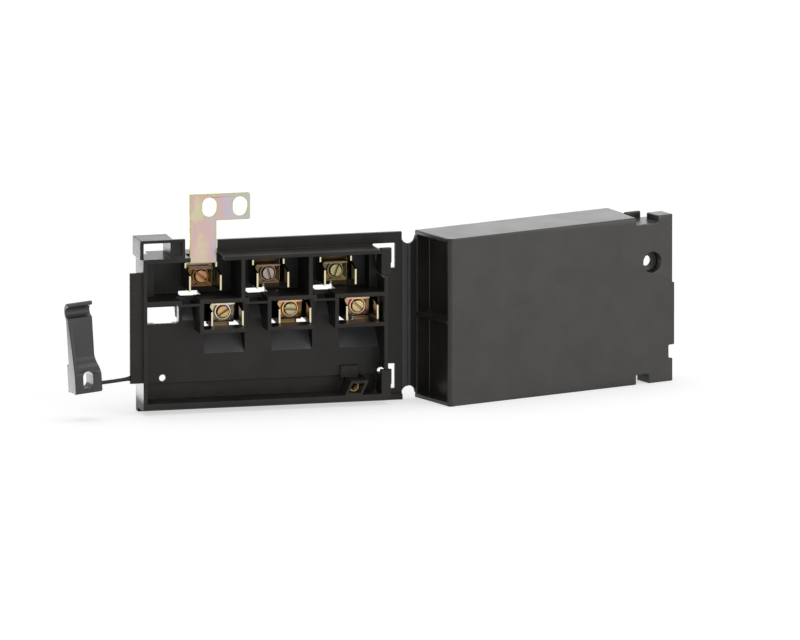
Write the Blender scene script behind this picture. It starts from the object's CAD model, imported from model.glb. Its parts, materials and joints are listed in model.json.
import json
import math

import bmesh
import bpy
from mathutils import Matrix, Vector


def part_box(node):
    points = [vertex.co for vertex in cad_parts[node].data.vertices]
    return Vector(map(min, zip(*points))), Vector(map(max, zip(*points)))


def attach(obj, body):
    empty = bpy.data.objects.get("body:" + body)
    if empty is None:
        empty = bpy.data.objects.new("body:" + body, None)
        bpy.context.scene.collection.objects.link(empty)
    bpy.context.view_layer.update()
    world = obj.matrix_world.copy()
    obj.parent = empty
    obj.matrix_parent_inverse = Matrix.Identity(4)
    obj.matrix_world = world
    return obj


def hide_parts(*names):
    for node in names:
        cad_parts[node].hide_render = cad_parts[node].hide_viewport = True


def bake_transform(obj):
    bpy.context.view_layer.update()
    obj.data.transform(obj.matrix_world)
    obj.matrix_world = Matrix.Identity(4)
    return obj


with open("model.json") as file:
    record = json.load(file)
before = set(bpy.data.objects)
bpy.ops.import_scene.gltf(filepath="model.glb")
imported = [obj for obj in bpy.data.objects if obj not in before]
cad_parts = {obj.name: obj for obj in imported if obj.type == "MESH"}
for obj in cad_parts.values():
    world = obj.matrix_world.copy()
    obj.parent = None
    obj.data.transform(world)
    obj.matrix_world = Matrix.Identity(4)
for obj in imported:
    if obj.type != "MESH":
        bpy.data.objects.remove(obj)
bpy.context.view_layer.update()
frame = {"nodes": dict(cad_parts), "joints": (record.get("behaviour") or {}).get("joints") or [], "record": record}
scene = bpy.context.scene
mm = 0.001
terminals = range(1, 7)
slotOf = {s["node"]: s["material_slot"] for s in frame["record"]["subparts"]}
jointAt = {j["name"]: Vector(j["pos_m"]) for j in frame["joints"] if j["type"] == "hinge"}
print("frame loaded,", len(frame["nodes"]), "nodes")


# camera, at the photo's angle and from far away

cameraSet = {
    "azimuth": -13.8,  # degrees, from the left of straight ahead
    "elevation": 10.5,
    "distance": 12.0,
    "pixelsPerMetre": 2430.0,
    "imageWidth": 800,
    "target": (0.05571, 0.002, 0.03266),
    "sensor": 36.0,
}


def placeCamera(c):
    turn = math.radians(c["azimuth"])
    lift = math.radians(c["elevation"])
    level = Vector((math.sin(turn), -math.cos(turn), 0))
    toCamera = level * math.cos(lift) + Vector((0, 0, math.sin(lift)))
    data = bpy.data.cameras.new("camera")
    data.sensor_width = c["sensor"]
    data.lens = c["sensor"] * c["distance"] * c["pixelsPerMetre"] / c["imageWidth"]
    data.clip_end = 5 * c["distance"]
    camera = bpy.data.objects.new("camera", data)
    scene.collection.objects.link(camera)
    camera.location = Vector(c["target"]) + toCamera * c["distance"]
    camera.rotation_euler = (-toCamera).to_track_quat("-Z", "Y").to_euler()
    scene.camera = camera


placeCamera(cameraSet)
scene.view_settings.view_transform = "Standard"
print("camera placed")


# small helpers for node trees

def addNode(tree, kind, values=None, **settings):
    node = tree.nodes.new(kind)
    for name, value in settings.items():
        setattr(node, name, value)
    for name, value in (values or {}).items():
        node.inputs[name].default_value = value
    return node


def wire(tree, fromSocket, toSocket):
    tree.links.new(fromSocket, toSocket)


# a link where the value is a socket, a plain setting where it isn't
def feed(tree, value, socket):
    if hasattr(value, "is_linked"):
        wire(tree, value, socket)
    else:
        socket.default_value = value


def maths(tree, operation, a, b, clamp=False):
    node = addNode(tree, "ShaderNodeMath", operation=operation, use_clamp=clamp)
    feed(tree, a, node.inputs[0])
    feed(tree, b, node.inputs[1])
    return node.outputs[0]


# the mix node keeps its colours in sockets 6 and 7, and its result in 2
def mixColour(tree, factor, a, b, blend="MIX"):
    node = addNode(tree, "ShaderNodeMix", data_type="RGBA", blend_type=blend)
    feed(tree, factor, node.inputs[0])
    feed(tree, a, node.inputs[6])
    feed(tree, b, node.inputs[7])
    return node.outputs[2]


def colourRamp(tree, factor, stops):
    node = addNode(tree, "ShaderNodeValToRGB")
    marks = node.color_ramp.elements
    while len(marks) < len(stops):
        marks.new(0.5)
    for mark, (place, colour) in zip(marks, stops):
        mark.position = place
        mark.color = (*colour, 1)
    wire(tree, factor, node.inputs[0])
    return node.outputs[0]


def groupTree(name, inputs, outputs):
    tree = bpy.data.node_groups.new(name, "ShaderNodeTree")
    for socketName, kind in inputs:
        tree.interface.new_socket(socketName, in_out="INPUT", socket_type=kind)
    for socketName, kind in outputs:
        tree.interface.new_socket(socketName, in_out="OUTPUT", socket_type=kind)
    return tree, addNode(tree, "NodeGroupInput"), addNode(tree, "NodeGroupOutput")


# one for rays from the camera, straight, mirrored or through
def seenDirectly(tree):
    path = addNode(tree, "ShaderNodeLightPath")
    seen = maths(tree, "MAXIMUM", path.outputs["Is Camera Ray"], path.outputs["Is Glossy Ray"])
    return maths(tree, "MAXIMUM", seen, path.outputs["Is Transmission Ray"])


floatKind, vectorKind, colourKind = "NodeSocketFloat", "NodeSocketVector", "NodeSocketColor"


# fine moulded or rolled grain, with slow blotches of tone

def makeGrainGroup():
    tree, start, end = groupTree(
        "surfaceGrain",
        [("Vector", vectorKind), ("Grain Size", floatKind), ("Blotch Size", floatKind)],
        [("Height", floatKind), ("Blotch", floatKind)],
    )
    fine = addNode(tree, "ShaderNodeTexNoise", {"Detail": 3.0, "Roughness": 0.6})
    slow = addNode(tree, "ShaderNodeTexNoise", {"Detail": 4.0, "Roughness": 0.55, "Distortion": 0.4})
    for noise, size in ((fine, "Grain Size"), (slow, "Blotch Size")):
        wire(tree, start.outputs["Vector"], noise.inputs["Vector"])
        wire(tree, maths(tree, "DIVIDE", 1.0, start.outputs[size]), noise.inputs["Scale"])
    wire(tree, fine.outputs["Fac"], end.inputs["Height"])
    wire(tree, slow.outputs["Fac"], end.inputs["Blotch"])
    return tree


# mask along edges, broken up so that it looks rubbed

def makeEdgeGroup():
    tree, start, end = groupTree(
        "edgeRub",
        [("Vector", vectorKind), ("Radius", floatKind), ("Gain", floatKind)],
        [("Mask", floatKind)],
    )
    rounded = addNode(tree, "ShaderNodeBevel", samples=6)
    wire(tree, start.outputs["Radius"], rounded.inputs["Radius"])
    plain = addNode(tree, "ShaderNodeNewGeometry")
    dot = addNode(tree, "ShaderNodeVectorMath", operation="DOT_PRODUCT")
    wire(tree, rounded.outputs["Normal"], dot.inputs[0])
    wire(tree, plain.outputs["Normal"], dot.inputs[1])
    bend = maths(tree, "SUBTRACT", 1.0, dot.outputs["Value"], clamp=True)
    noise = addNode(tree, "ShaderNodeTexNoise", {"Scale": 420.0, "Detail": 3.0})  # rubs of some 2 mm
    wire(tree, start.outputs["Vector"], noise.inputs["Vector"])
    strong = maths(tree, "MULTIPLY", bend, start.outputs["Gain"])
    broken = maths(tree, "MULTIPLY", strong, noise.outputs["Fac"])
    wire(tree, maths(tree, "MINIMUM", broken, 1.0), end.inputs["Mask"])
    return tree


# thin rainbow film of a chromated or zinc plated sheet

def makeFilmGroup():
    tree, start, end = groupTree(
        "rainbowFilm",
        [("Vector", vectorKind), ("Stretch", vectorKind), ("Patch Size", floatKind), ("Slope", vectorKind),
         ("Start", floatKind), ("Wander", floatKind), ("Tint", colourKind), ("Strength", floatKind)],
        [("Color", colourKind)],
    )
    noise = addNode(tree, "ShaderNodeTexNoise", {"Detail": 1.5, "Roughness": 0.45, "Distortion": 0.7})
    stretched = addNode(tree, "ShaderNodeVectorMath", operation="MULTIPLY")
    wire(tree, start.outputs["Vector"], stretched.inputs[0])
    wire(tree, start.outputs["Stretch"], stretched.inputs[1])
    wire(tree, stretched.outputs["Vector"], noise.inputs["Vector"])
    wire(tree, maths(tree, "DIVIDE", 1.0, start.outputs["Patch Size"]), noise.inputs["Scale"])
    slope = addNode(tree, "ShaderNodeVectorMath", operation="DOT_PRODUCT")
    wire(tree, start.outputs["Vector"], slope.inputs[0])
    wire(tree, start.outputs["Slope"], slope.inputs[1])
    wander = maths(tree, "MULTIPLY", noise.outputs["Fac"], start.outputs["Wander"])
    sloped = maths(tree, "ADD", slope.outputs["Value"], start.outputs["Start"])
    order = maths(tree, "ADD", sloped, wander)
    rainbow = colourRamp(tree, order, [
        (0.30, (0.55, 1.00, 0.62)),  # green
        (0.40, (1.00, 0.92, 0.50)),  # straw
        (0.50, (1.00, 0.60, 0.56)),  # pink
        (0.60, (0.72, 0.74, 1.00)),  # lilac
        (0.70, (1.00, 0.72, 0.28)),  # gold
    ])
    stain = mixColour(tree, start.outputs["Strength"], (1, 1, 1, 1), rainbow)
    tinted = mixColour(tree, 1.0, start.outputs["Tint"], stain, "MULTIPLY")
    wire(tree, tinted, end.inputs["Color"])
    return tree


grainGroup = makeGrainGroup()
edgeGroup = makeEdgeGroup()
filmGroup = makeFilmGroup()


def placeGroup(tree, group, vector, values):
    node = addNode(tree, "ShaderNodeGroup", values, node_tree=group)
    wire(tree, vector, node.inputs["Vector"])
    return node


def startMaterial(name):
    material = bpy.data.materials.new(name)
    material.use_nodes = True
    tree = material.node_tree
    shader = tree.nodes["Principled BSDF"]
    place = addNode(tree, "ShaderNodeTexCoord").outputs["Object"]
    return material, tree, shader, place


def addBump(tree, shader, height, strength, distance):
    bump = addNode(tree, "ShaderNodeBump", {"Strength": strength, "Distance": distance})
    wire(tree, height, bump.inputs["Height"])
    wire(tree, bump.outputs["Normal"], shader.inputs["Normal"])


def addSheen(tree, shader, blotch, p):
    sheen = addNode(tree, "ShaderNodeMapRange", {"To Min": p["smooth"], "To Max": p["dull"]})
    wire(tree, blotch, sheen.inputs["Value"])
    wire(tree, sheen.outputs["Result"], shader.inputs["Roughness"])


# materials

plasticShared = {"grainDepth": 0.03 * mm, "blotch": 14 * mm, "rim": 0.35 * mm, "gain": 3.0, "bump": 0.25}
plasticSet = {
    "tray": {
        "dark": (0.0112, 0.0098, 0.0084), "light": (0.0208, 0.0186, 0.0162), "rubbed": (0.07, 0.07, 0.07),
        "polished": (0.125, 0.126, 0.132),  # ramps below the lower row
        "specular": 0.30, "smooth": 0.32, "dull": 0.46, "grainSize": 0.35 * mm},
    "cover": {
        "dark": (0.0168, 0.0148, 0.0128), "light": (0.0268, 0.0238, 0.0208), "rubbed": (0.06, 0.06, 0.06),
        "specular": 0.50, "smooth": 0.32, "dull": 0.44, "grainSize": 0.30 * mm},
    "clamp": {
        "dark": (0.026, 0.026, 0.028), "light": (0.040, 0.040, 0.043), "rubbed": (0.12, 0.12, 0.12),
        "specular": 0.50, "smooth": 0.36, "dull": 0.50, "grainSize": 0.30 * mm},
}


def makePlastic(name, finish):
    p = {**plasticShared, **finish}
    material, tree, shader, place = startMaterial(name)
    grain = placeGroup(tree, grainGroup, place, {"Grain Size": p["grainSize"], "Blotch Size": p["blotch"]})
    edge = placeGroup(tree, edgeGroup, place, {"Radius": p["rim"], "Gain": p["gain"]})
    body = colourRamp(tree, grain.outputs["Blotch"], [(0.35, p["dark"]), (0.65, p["light"])])
    if "polished" in p:
        polish = addNode(tree, "ShaderNodeAttribute", attribute_name="polish").outputs["Fac"]
        body = mixColour(tree, polish, body, (*p["polished"], 1))
    wire(tree, mixColour(tree, edge.outputs["Mask"], body, (*p["rubbed"], 1)), shader.inputs["Base Color"])
    addSheen(tree, shader, grain.outputs["Blotch"], p)
    shader.inputs["Specular IOR Level"].default_value = p["specular"]
    addBump(tree, shader, grain.outputs["Height"], p["bump"], p["grainDepth"])
    return material


filmSet = {
    "body": (0.034, 0.033, 0.032),
    "bent": (0.10, 0.10, 0.10),  # paler along the bend
    "streak": 0.35,
    "smooth": 0.30,
    "dull": 0.46,
    "grainSize": 0.3 * mm,
    "grainDepth": 0.03 * mm,
    "blotch": 5 * mm,
    "bump": 0.2,
}


def makeFilmPlastic(name, p):
    material, tree, shader, place = startMaterial(name)
    grain = placeGroup(tree, grainGroup, place, {"Grain Size": p["grainSize"], "Blotch Size": p["blotch"]})
    bent = addNode(tree, "ShaderNodeAttribute", attribute_name="bent")
    uneven = maths(tree, "ADD", grain.outputs["Blotch"], p["streak"])
    streak = maths(tree, "MULTIPLY", bent.outputs["Fac"], uneven)
    wire(tree, mixColour(tree, streak, (*p["body"], 1), (*p["bent"], 1)), shader.inputs["Base Color"])
    addSheen(tree, shader, grain.outputs["Blotch"], p)
    addBump(tree, shader, grain.outputs["Height"], p["bump"], p["grainDepth"])
    return material


# what every metal has unless its own set says otherwise
metalShared = {
    "stretch": (1.0, 1.0, 1.0),
    "slope": (0.0, 0.0, 0.0),  # steady change of film colour across the sheet
    "start": 0.0,
    "wander": 1.0,
    "rim": 0.3 * mm,
    "gain": 4.5,
    "bare": 0.0,  # how far a cut edge shows plain metal
    "reach": 7 * mm,  # how near a wall shelters the metal
    "hidden": 0.25,
    "open": 0.85,
    "grainSize": 0.22 * mm,
    "grainDepth": 0.02 * mm,
    "blotch": 3.5 * mm,
    "bump": 0.15,
}
# one set for each finish, where deep is the share of colour left in hollows
metalSet = {
    "strap": {
        "tint": (0.63, 0.60, 0.59), "edge": (0.44, 0.50, 0.15), "rainbow": 0.70, "patch": 6 * mm,
        "stretch": (1.0, 1.0, 0.6), "slope": (8.0, 0.0, 0.0), "start": 0.46, "wander": 0.50,
        "rim": 1.2 * mm, "gain": 36.0, "deep": 1.0, "smooth": 0.22, "dull": 0.38},
    "cage": {
        "shade": 0.20, "edge": (0.94, 0.84, 0.56), "rainbow": 0.70, "patch": 6 * mm,
        "bare": 0.80, "deep": 0.10, "smooth": 0.07, "dull": 0.20},
    "plate": {
        "shade": 1.0, "edge": (0.96, 0.90, 0.72), "rainbow": 0.90, "patch": 2.4 * mm,
        "deep": 0.60, "smooth": 0.07, "dull": 0.20},
    "screw": {
        "shade": 1.0, "edge": (0.70, 0.60, 0.42), "rainbow": 0.70, "patch": 2.0 * mm,
        "deep": 0.5, "smooth": 0.22, "dull": 0.40},
    "bar": {
        "tint": (0.30, 0.21, 0.10), "edge": (0.60, 0.48, 0.28), "rainbow": 0.30, "patch": 5 * mm,
        "deep": 0.05, "smooth": 0.25, "dull": 0.42},
    "insert": {
        "tint": (0.80, 0.56, 0.18), "edge": (0.92, 0.78, 0.46), "rainbow": 0.15, "patch": 3 * mm,
        "deep": 0.6, "smooth": 0.18, "dull": 0.32},
}
# the film on the upper row is browner and darker
terminalTint = {
    1: (0.22, 0.125, 0.05),
    2: (0.22, 0.17, 0.12),
    3: (0.21, 0.19, 0.10),
    4: (0.88, 0.90, 0.80),
    5: (0.88, 0.60, 0.33),
    6: (0.88, 0.64, 0.46),
}
screwTint = {
    1: (0.46, 0.28, 0.15),
    2: (0.42, 0.38, 0.34),
    3: (0.40, 0.42, 0.24),
    4: (0.76, 0.54, 0.26),
    5: (0.60, 0.58, 0.36),
    6: (0.80, 0.66, 0.38),
}


def makeMetal(name, finish):
    p = {**metalShared, **finish}
    material, tree, shader, place = startMaterial(name)
    grain = placeGroup(tree, grainGroup, place, {"Grain Size": p["grainSize"], "Blotch Size": p["blotch"]})
    film = placeGroup(tree, filmGroup, place, {
        "Stretch": p["stretch"], "Patch Size": p["patch"], "Slope": p["slope"], "Start": p["start"],
        "Wander": p["wander"], "Tint": (*p["tint"], 1), "Strength": p["rainbow"]})
    edge = placeGroup(tree, edgeGroup, place, {"Radius": p["rim"], "Gain": p["gain"]})
    cut = addNode(tree, "ShaderNodeAttribute", attribute_name="cut").outputs["Fac"]
    worn = maths(tree, "MAXIMUM", edge.outputs["Mask"], maths(tree, "MULTIPLY", cut, p["bare"]))
    shelter = addNode(tree, "ShaderNodeAmbientOcclusion", {"Distance": p["reach"]}, samples=8)
    grime = addNode(tree, "ShaderNodeMapRange", {
        "From Min": p["hidden"], "From Max": p["open"], "To Min": p["deep"]})
    wire(tree, shelter.outputs["AO"], grime.inputs["Value"])
    dirty = mixColour(tree, 1.0, film.outputs["Color"], grime.outputs["Result"], "MULTIPLY")
    wire(tree, mixColour(tree, worn, dirty, (*p["edge"], 1)), shader.inputs["Base Color"])
    addSheen(tree, shader, grain.outputs["Blotch"], p)
    shader.inputs["Metallic"].default_value = 1.0
    addBump(tree, shader, grain.outputs["Height"], p["bump"], p["grainDepth"])
    return material


trayPlastic = makePlastic("trayPlastic", plasticSet["tray"])
coverPlastic = makePlastic("coverPlastic", plasticSet["cover"])
clampPlastic = makePlastic("clampPlastic", plasticSet["clamp"])
filmPlastic = makeFilmPlastic("filmPlastic", filmSet)
strapMetal = makeMetal("strapMetal", metalSet["strap"])
barMetal = makeMetal("barMetal", metalSet["bar"])
insertBrass = makeMetal("insertBrass", metalSet["insert"])
terminalMetal = {}
for n in terminals:
    for kind, tints in (("cage", terminalTint), ("plate", terminalTint), ("screw", screwTint)):
        tint = tuple(metalSet[kind]["shade"] * c for c in tints[n])
        terminalMetal[kind, n] = makeMetal(f"{kind}Metal{n}", {**metalSet[kind], "tint": tint})
print("materials made,", len(bpy.data.materials))


# meshes

meshSet = {"merge": 0.002 * mm, "flat": 0.5, "sharp": 40, "segments": 2}  # angles in degrees


def newObject(name, mesh, material):
    piece = bpy.data.objects.new(name, mesh)
    scene.collection.objects.link(piece)
    mesh.materials.append(material)
    return piece


def objectFrom(shape, name, material):
    mesh = bpy.data.meshes.new(name)
    shape.to_mesh(mesh)
    shape.free()
    return newObject(name, mesh, material)


def bakeModifiers(piece):
    graph = bpy.context.evaluated_depsgraph_get()
    graph.update()
    mesh = bpy.data.meshes.new_from_object(piece.evaluated_get(graph))
    piece.modifiers.clear()
    old = piece.data
    piece.data = mesh
    bpy.data.meshes.remove(old)
    mesh.name = piece.name


def finishEdges(piece, width):
    bevel = piece.modifiers.new("edges", "BEVEL")
    bevel.width = width
    bevel.segments = meshSet["segments"]
    bevel.limit_method = "ANGLE"
    bevel.angle_limit = math.radians(meshSet["sharp"])
    bevel.use_clamp_overlap = False
    bevel.miter_outer = "MITER_ARC"
    weighted = piece.modifiers.new("flats", "WEIGHTED_NORMAL")
    weighted.mode = "FACE_AREA"
    weighted.keep_sharp = False
    for face in piece.data.polygons:
        face.use_smooth = True
    bakeModifiers(piece)


# a node's triangles merged into whole faces, then with rounded edges
def copyNode(node, name, material, width, reshape=None):
    shape = bmesh.new()
    shape.from_mesh(frame["nodes"][node].data)
    bmesh.ops.remove_doubles(shape, verts=shape.verts, dist=meshSet["merge"])
    bmesh.ops.join_triangles(
        shape, faces=shape.faces, angle_face_threshold=math.radians(meshSet["flat"]),
        angle_shape_threshold=math.pi)
    if reshape:
        reshape(shape)
    piece = objectFrom(shape, name, material)
    finishEdges(piece, width)
    return piece


# skin over a row of rings, closed at both ends
def skinRings(shape, rings):
    count = len(rings[0])
    for a, b in zip(rings, rings[1:]):
        for k in range(count):
            j = (k + 1) % count
            shape.faces.new((a[k], a[j], b[j], b[k]))
    shape.faces.new(rings[0])
    shape.faces.new(list(reversed(rings[-1])))
    bmesh.ops.recalc_face_normals(shape, faces=shape.faces)


def markFaces(piece, name, chosen):
    mesh = piece.data
    marks = [1.0 if chosen(f) else 0.0 for f in mesh.polygons]
    mesh.attributes.new(name, "FLOAT", "FACE").data.foreach_set("value", marks)
    return sum(marks)


def settle(piece, body, slot, *nodes):
    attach(piece, body)
    if nodes:
        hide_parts(*nodes)


# mouldings

# ramps of the tray, which face up and forward
rampSet = {"tilt": Vector((0.0, -0.762, 0.648)), "near": 0.97, "back": -3 * mm}


def isRamp(face):
    return face.normal.dot(rampSet["tilt"]) > rampSet["near"] and face.center.y > rampSet["back"]


# the hollow behind the clamp's pilot ends at the step of the cord bay
reliefSet = {"reach": 3.4 * mm, "step": 11.4 * mm, "merge": 0.001 * mm}


def closeRelief(shape):
    pilot = next(Vector(m["pos_m"]) for m in frame["record"]["mounts"] if m["name"] == "clamp_screw_pilot")
    for v in shape.verts:
        away = math.hypot(v.co.x - pilot.x, v.co.z - pilot.z)
        if away < reliefSet["reach"] and v.co.z < reliefSet["step"]:
            v.co.z = reliefSet["step"]
    bmesh.ops.dissolve_degenerate(shape, dist=reliefSet["merge"], edges=shape.edges)


mouldingSet = {
    "base_tray": {"name": "tray_moulding", "body": "base", "material": trayPlastic, "edge": 0.22 * mm},
    "rear_cover": {"name": "cover_moulding", "body": "cover", "material": coverPlastic, "edge": 0.45 * mm},
    "cord_clamp": {"name": "clamp_moulding", "body": "clamp", "material": clampPlastic, "edge": 0.30 * mm},
}
for node, m in mouldingSet.items():
    reshape = closeRelief if node == "base_tray" else None
    piece = copyNode(node, m["name"], m["material"], m["edge"], reshape)
    if node == "base_tray":
        print("ramp faces,", markFaces(piece, "polish", isRamp))
    settle(piece, m["body"], slotOf[node], node)
print("mouldings made")


# film hinge, one strip that bends with the cover

hingeSet = {
    "turn": 18.8,  # degrees of fold as shown
    "neckWide": 0.35,  # shares of the half width
    "bendWide": 0.3,
    "neckThin": 0.45,  # share of the thickness lost at the bend
    "rows": 40,
    "steps": 14,
}


def makeHinge(h):
    low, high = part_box("hinge_leaf_base")
    filmLow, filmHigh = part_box("hinge_film")
    axis = jointAt["cover_hinge"]
    half = axis.x - low.x
    mid = (low.y + high.y) / 2
    thick = (high.y - low.y) / 2
    turn = math.radians(h["turn"])
    shape = bmesh.new()
    rings = []
    marks = []
    for i in range(2 * h["steps"] + 1):
        along = (i / h["steps"] - 1) * half
        rim = math.sqrt(max(half * half - along * along, 0))
        bottom = filmLow.z - half + rim
        top = filmHigh.z + half - rim
        nearness = max(0.0, 1 - abs(along) / (h["neckWide"] * half))
        neck = thick * (1 - h["neckThin"] * nearness * nearness)
        centre = Vector((low.x + half + min(along, 0), mid, 0))
        across = Vector((0, 1, 0))
        if along > 0:
            fold = Matrix.Rotation(turn, 3, "Z")
            centre = Vector((axis.x, axis.y, 0)) + fold @ Vector((along, mid - axis.y, 0))
            across = fold @ across
        elif along == 0:
            across = Matrix.Rotation(turn / 2, 3, "Z") @ across
        heights = [Vector((0, 0, bottom + (top - bottom) * k / h["rows"])) for k in range(h["rows"] + 1)]
        outside = [centre - across * neck + z for z in heights]
        inside = [centre + across * neck + z for z in reversed(heights)]
        ring = [shape.verts.new(p) for p in outside + inside]
        rings.append(ring)
        marks += [nearness] * len(ring)
    skinRings(shape, rings)
    piece = objectFrom(shape, "hinge_strip", filmPlastic)
    piece.data.attributes.new("bent", "FLOAT", "POINT").data.foreach_set("value", marks)
    return piece, axis, Vector((half * h["bendWide"], 0, 0))


hinge, hingeAxis, hingeBend = makeHinge(hingeSet)
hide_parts("hinge_leaf_base", "hinge_leaf_cover", "hinge_film")
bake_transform(hinge)
print("hinge made")


# tether, a thin rod between the ear and the clamp

tetherSet = {
    "wide": 0.8 * mm,
    "deep": 0.5 * mm,
    "sag": 0.15 * mm,
    "tuck": 0.5 * mm,  # how far each end runs into its neighbour
    "flare": 0.35,
    "flarePower": 6,
    "bendShare": 0.35,  # share of the length that bends
    "endBand": 0.3 * mm,
    "steps": 24,
    "sides": 12,
}


# middle of the tether's end face in a direction
def endMiddle(t, direction):
    points = [v.co for v in frame["nodes"]["clamp_tether"].data.vertices]
    far = max(p.dot(direction) for p in points)
    end = [p for p in points if p.dot(direction) > far - t["endBand"]]
    return sum(end, Vector()) / len(end)


def makeTether(t):
    root = endMiddle(t, Vector((1, 0, 0)))
    tip = endMiddle(t, Vector((-1, 0, 0)))
    run = (tip - root).normalized()
    start = root - run * t["tuck"]
    end = tip + run * t["tuck"]
    up = (Vector((0, 0, 1)) - run * run.z).normalized()
    out = run.cross(up)
    shape = bmesh.new()
    rings = []
    for i in range(t["steps"] + 1):
        share = i / t["steps"]
        centre = start.lerp(end, share) - up * t["sag"] * math.sin(math.pi * share)
        swell = 1 + t["flare"] * (2 * share - 1) ** t["flarePower"]
        ring = []
        for k in range(t["sides"]):
            angle = 2 * math.pi * k / t["sides"]
            offset = up * math.cos(angle) * t["wide"] + out * math.sin(angle) * t["deep"]
            ring.append(shape.verts.new(centre + offset * swell))
        rings.append(ring)
    skinRings(shape, rings)
    for face in shape.faces:
        face.smooth = True
    return objectFrom(shape, "tether_rod", trayPlastic), start, end


tether, tetherRoot, tetherTip = makeTether(tetherSet)
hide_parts("clamp_tether")
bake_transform(tether)
print("tether made")


# right-hand threads, one node group for the screws and the insert

threadSet = {
    "screw": {"pitch": 0.6 * mm, "ridge": 0.15 * mm, "outer": 1.74 * mm, "core": 1.46 * mm,
              "head": 2.4 * mm, "tip": 0.6 * mm, "slack": 0.1 * mm},
    "insert": {"pitch": 0.7 * mm, "ridge": 0.16 * mm, "bore": 1.65 * mm, "ends": 0.35 * mm},
}


def makeThreadGroup():
    tree = bpy.data.node_groups.new("threadTurns", "GeometryNodeTree")
    kinds = {"Turns": floatKind, "Radius": floatKind, "Length": floatKind, "Ridge": floatKind,
             "Place": vectorKind, "Material": "NodeSocketMaterial"}
    sockets = {k: tree.interface.new_socket(k, in_out="INPUT", socket_type=v) for k, v in kinds.items()}
    tree.interface.new_socket("Geometry", in_out="OUTPUT", socket_type="NodeSocketGeometry")
    start = addNode(tree, "NodeGroupInput")
    end = addNode(tree, "NodeGroupOutput")
    spiral = addNode(tree, "GeometryNodeCurveSpiral", {"Resolution": 28, "Reverse": True})
    profile = addNode(tree, "GeometryNodeCurvePrimitiveCircle", {"Resolution": 6})
    sweep = addNode(tree, "GeometryNodeCurveToMesh", {"Fill Caps": True})
    turned = addNode(tree, "GeometryNodeTransform", {"Rotation": (-math.pi / 2, 0, 0)})
    real = addNode(tree, "GeometryNodeRealizeInstances")
    painted = addNode(tree, "GeometryNodeSetMaterial")
    wire(tree, start.outputs["Turns"], spiral.inputs["Rotations"])
    wire(tree, start.outputs["Radius"], spiral.inputs["Start Radius"])
    wire(tree, start.outputs["Radius"], spiral.inputs["End Radius"])
    wire(tree, start.outputs["Length"], spiral.inputs["Height"])
    wire(tree, start.outputs["Ridge"], profile.inputs["Radius"])
    wire(tree, spiral.outputs["Curve"], sweep.inputs["Curve"])
    wire(tree, profile.outputs["Curve"], sweep.inputs["Profile Curve"])
    wire(tree, sweep.outputs["Mesh"], turned.inputs["Geometry"])
    wire(tree, start.outputs["Place"], turned.inputs["Translation"])
    wire(tree, turned.outputs["Geometry"], real.inputs["Geometry"])
    wire(tree, real.outputs["Geometry"], painted.inputs["Geometry"])
    wire(tree, start.outputs["Material"], painted.inputs["Material"])
    wire(tree, painted.outputs["Geometry"], end.inputs["Geometry"])
    return tree, {k: v.identifier for k, v in sockets.items()}


threadGroup, threadInput = makeThreadGroup()


# a thread in a node, from one margin at its front to another at its back
def makeThread(name, node, material, radius, front, back, t):
    low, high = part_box(node)
    place = Vector(((low.x + high.x) / 2, low.y + front, (low.z + high.z) / 2))
    length = high.y - back - place.y
    piece = newObject(name, bpy.data.meshes.new(name), material)
    turns = piece.modifiers.new("turns", "NODES")
    turns.node_group = threadGroup
    values = {"Turns": length / t["pitch"], "Radius": radius, "Length": length, "Ridge": t["ridge"],
              "Place": tuple(place), "Material": material}
    for key, value in values.items():
        turns[threadInput[key]] = value
    bakeModifiers(piece)
    for face in piece.data.polygons:
        face.use_smooth = True
    return piece


# the shank down to its core, behind the head
def thinShank(t, node):
    low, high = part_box(node)
    middle = (low + high) / 2
    share = t["core"] / t["outer"]

    def reshape(shape):
        for v in shape.verts:
            out = Vector((v.co.x - middle.x, 0, v.co.z - middle.z))
            behind = v.co.y > low.y + t["head"] - t["slack"]
            if behind and out.length < t["outer"] + t["slack"]:
                v.co = Vector((middle.x, v.co.y, middle.z)) + out * share

    return reshape


# sheet metal, with the cut edges of the sheet marked

metalEdge = 0.12 * mm
cutSet = {"facing": 0.8, "area": 7 * mm * mm}


def isCut(face):
    return face.normal.y < -cutSet["facing"] and face.area < cutSet["area"]


strap = copyNode("earth_strap", "earth_strap_sheet", strapMetal, metalEdge)
settle(strap, "base", slotOf["earth_strap"], "earth_strap")
t = threadSet["screw"]
for n in terminals:
    node = f"terminal_cage_{n}"
    cage = copyNode(node, f"cage_{n}", terminalMetal["cage", n], metalEdge)
    markFaces(cage, "cut", isCut)
    settle(cage, "base", slotOf[node], node)
    node = f"clamp_plate_{n}"
    plate = copyNode(node, f"plate_{n}", terminalMetal["plate", n], metalEdge)
    settle(plate, f"plate_{n}", slotOf[node], node)
    if n > 1:  # the earth strap's foot is the first terminal's bar
        node = f"contact_bar_{n}"
        bar = copyNode(node, f"bar_{n}", barMetal, metalEdge)
        settle(bar, "base", slotOf[node], node)
    node = f"terminal_screw_{n}"
    metal = terminalMetal["screw", n]
    screw = copyNode(node, f"screw_{n}", metal, metalEdge, thinShank(t, node))
    settle(screw, f"screw_{n}", slotOf[node], node)
    radius = t["outer"] - t["ridge"]
    thread = makeThread(f"thread_{n}", node, metal, radius, t["head"] + t["ridge"], t["tip"], t)
    settle(thread, f"screw_{n}", slotOf[node])
insert = copyNode("clamp_insert", "insert_brass", insertBrass, metalEdge)
settle(insert, "base", slotOf["clamp_insert"], "clamp_insert")
t = threadSet["insert"]
thread = makeThread("insert_thread", "clamp_insert", insertBrass, t["bore"], t["ends"], t["ends"], t)
settle(thread, "base", slotOf["clamp_insert"])
print("metal made")


# floor, world and lamps

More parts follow.
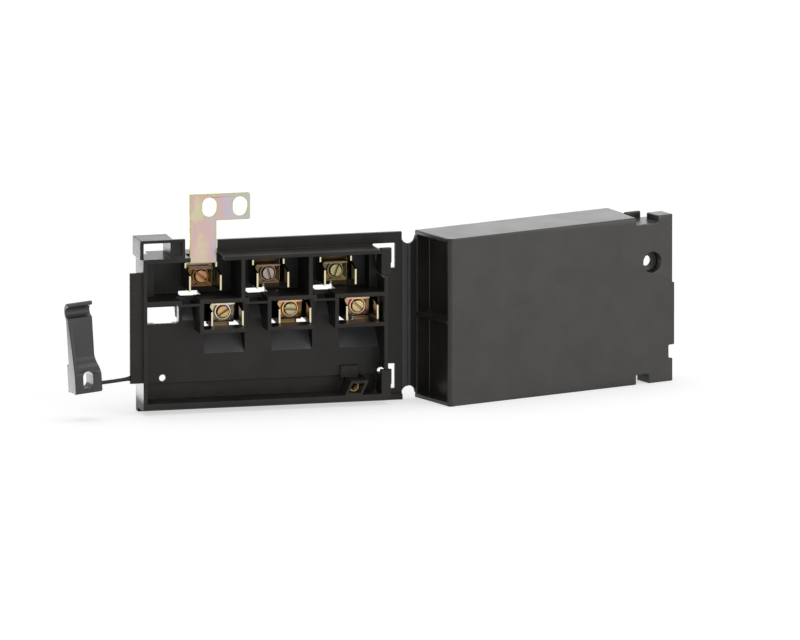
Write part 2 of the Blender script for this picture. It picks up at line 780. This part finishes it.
stageSet = {
    "floorSize": 8.0,
    "floorColour": (0.5, 0.5, 0.5, 1),
    "floorGlow": 0.6,
    "worldLight": 0.45,
    "lamps": {
        "topBox": {
            "at": (0.1, 0.1, 1.6), "to": (0.06, 0, 0.03), "size": (1.4, 1.0), "power": 11.0},
        "frontRightBox": {
            "at": (1.3, -1.1, 0.35), "to": (0.12, 0, 0.03), "size": (1.0, 0.7), "power": 9.0},
        "backBox": {
            "at": (0.42, 1.6, 0.34), "to": (0.06, 0, 0.06), "size": (1.1, 0.5), "power": 2.6},
        "tableGlow": {  # pale table behind, for the left faces
            "at": (-0.105, 0.22, 0.004), "to": (-0.105, 0.22, 1.0), "size": (0.09, 0.45), "power": 0.55},
    },
}


def makeFloor(s):
    mesh = bpy.data.meshes.new("floor")
    half = s["floorSize"] / 2
    corners = [(-half, -half, 0), (half, -half, 0), (half, half, 0), (-half, half, 0)]
    mesh.from_pydata(corners, [], [(0, 1, 2, 3)])
    material = bpy.data.materials.new("paleFloor")
    material.use_nodes = True
    tree = material.node_tree
    shader = tree.nodes["Principled BSDF"]
    shader.inputs["Base Color"].default_value = s["floorColour"]
    shader.inputs["Roughness"].default_value = 1.0
    shader.inputs["Specular IOR Level"].default_value = 0.0
    glow = maths(tree, "MULTIPLY", seenDirectly(tree), s["floorGlow"])
    wire(tree, glow, shader.inputs["Emission Strength"])
    shader.inputs["Emission Color"].default_value = (1, 1, 1, 1)
    floor = newObject("floor", mesh, material)


def makeWorld(s):
    world = bpy.data.worlds.new("whiteRoom")
    scene.world = world
    world.use_nodes = True
    tree = world.node_tree
    shade = tree.nodes["Background"]
    level = addNode(tree, "ShaderNodeMapRange", {"To Min": s["worldLight"], "To Max": 1.0})
    wire(tree, seenDirectly(tree), level.inputs["Value"])
    wire(tree, level.outputs["Result"], shade.inputs["Strength"])
    shade.inputs["Color"].default_value = (1, 1, 1, 1)


def makeLamps(s):
    for name, lamp in s["lamps"].items():
        data = bpy.data.lights.new(name, "AREA")
        data.shape = "RECTANGLE"
        data.size, data.size_y = lamp["size"]
        data.energy = lamp["power"]
        light = bpy.data.objects.new(name, data)
        scene.collection.objects.link(light)
        light.location = lamp["at"]
        aim = Vector(lamp["to"]) - Vector(lamp["at"])
        light.rotation_euler = aim.to_track_quat("-Z", "Y").to_euler()
        light.visible_camera = False


makeFloor(stageSet)
makeWorld(stageSet)
makeLamps(stageSet)
print("stage made")
